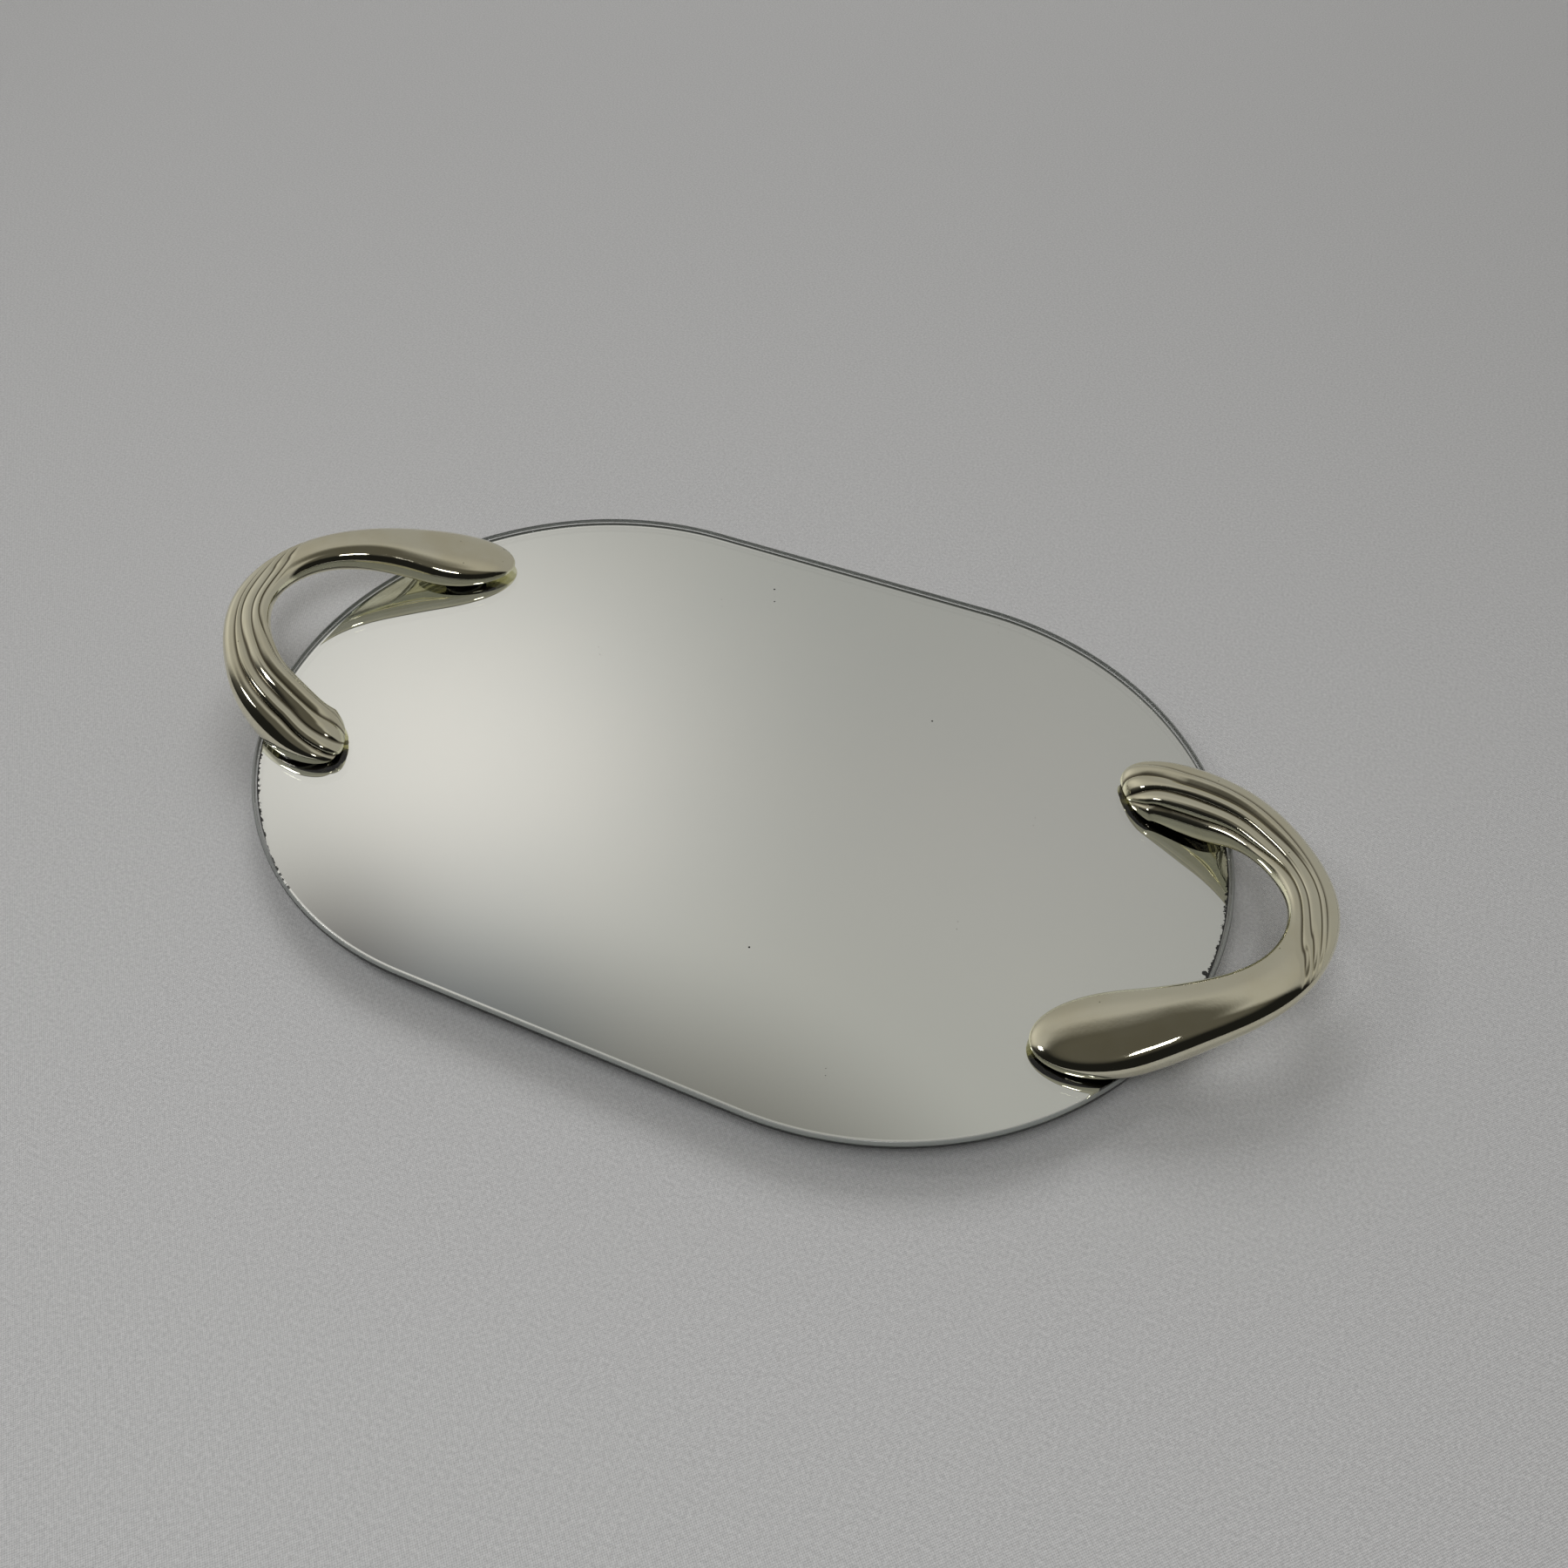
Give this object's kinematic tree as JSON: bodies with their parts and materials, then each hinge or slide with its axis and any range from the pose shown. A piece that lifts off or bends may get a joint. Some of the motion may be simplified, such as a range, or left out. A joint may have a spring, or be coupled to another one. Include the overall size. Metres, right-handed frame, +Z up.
{
  "type": "vanity tray",
  "caption": "Mirrored vanity tray with a stadium-shaped glass plate, two swept cast handles with grooved ends, and screwed rubber feet.",
  "frame": {"origin": "middle of the mirror plate, on the surface that the feet stand on", "axes": "+X along the tray's length towards the right handle, +Y towards the back, +Z up"},
  "size_m": [0.3548, 0.2032, 0.0272],
  "materials": {
    "mirror_glass": "polished float glass, ground edge",
    "silvering": "silvered",
    "backing_paint": "matt protective paint",
    "handle_plating": "polished pale champagne plating on cast zinc, finely pitted",
    "foot_rubber": "moulded matt",
    "sleeve_nylon": "natural nylon",
    "gasket_vinyl": "clear soft vinyl",
    "zinc_steel": "zinc plated"
  },
  "bodies": {
    "root": {"mirror_glass": "mirror_glass", "mirror_silvering": "silvering", "mirror_backing_paint": "backing_paint", "right_handle": "handle_plating", "left_handle": "handle_plating", "foot_back_right": "foot_rubber", "foot_front_right": "foot_rubber", "foot_front_left": "foot_rubber", "foot_back_left": "foot_rubber", "sleeve_back_right": "sleeve_nylon", "sleeve_front_right": "sleeve_nylon", "sleeve_front_left": "sleeve_nylon", "sleeve_back_left": "sleeve_nylon", "gasket_back_right": "gasket_vinyl", "gasket_front_right": "gasket_vinyl", "gasket_front_left": "gasket_vinyl", "gasket_back_left": "gasket_vinyl", "screw_washers": "zinc_steel", "handle_screws": "zinc_steel"}
  },
  "joints": []
}
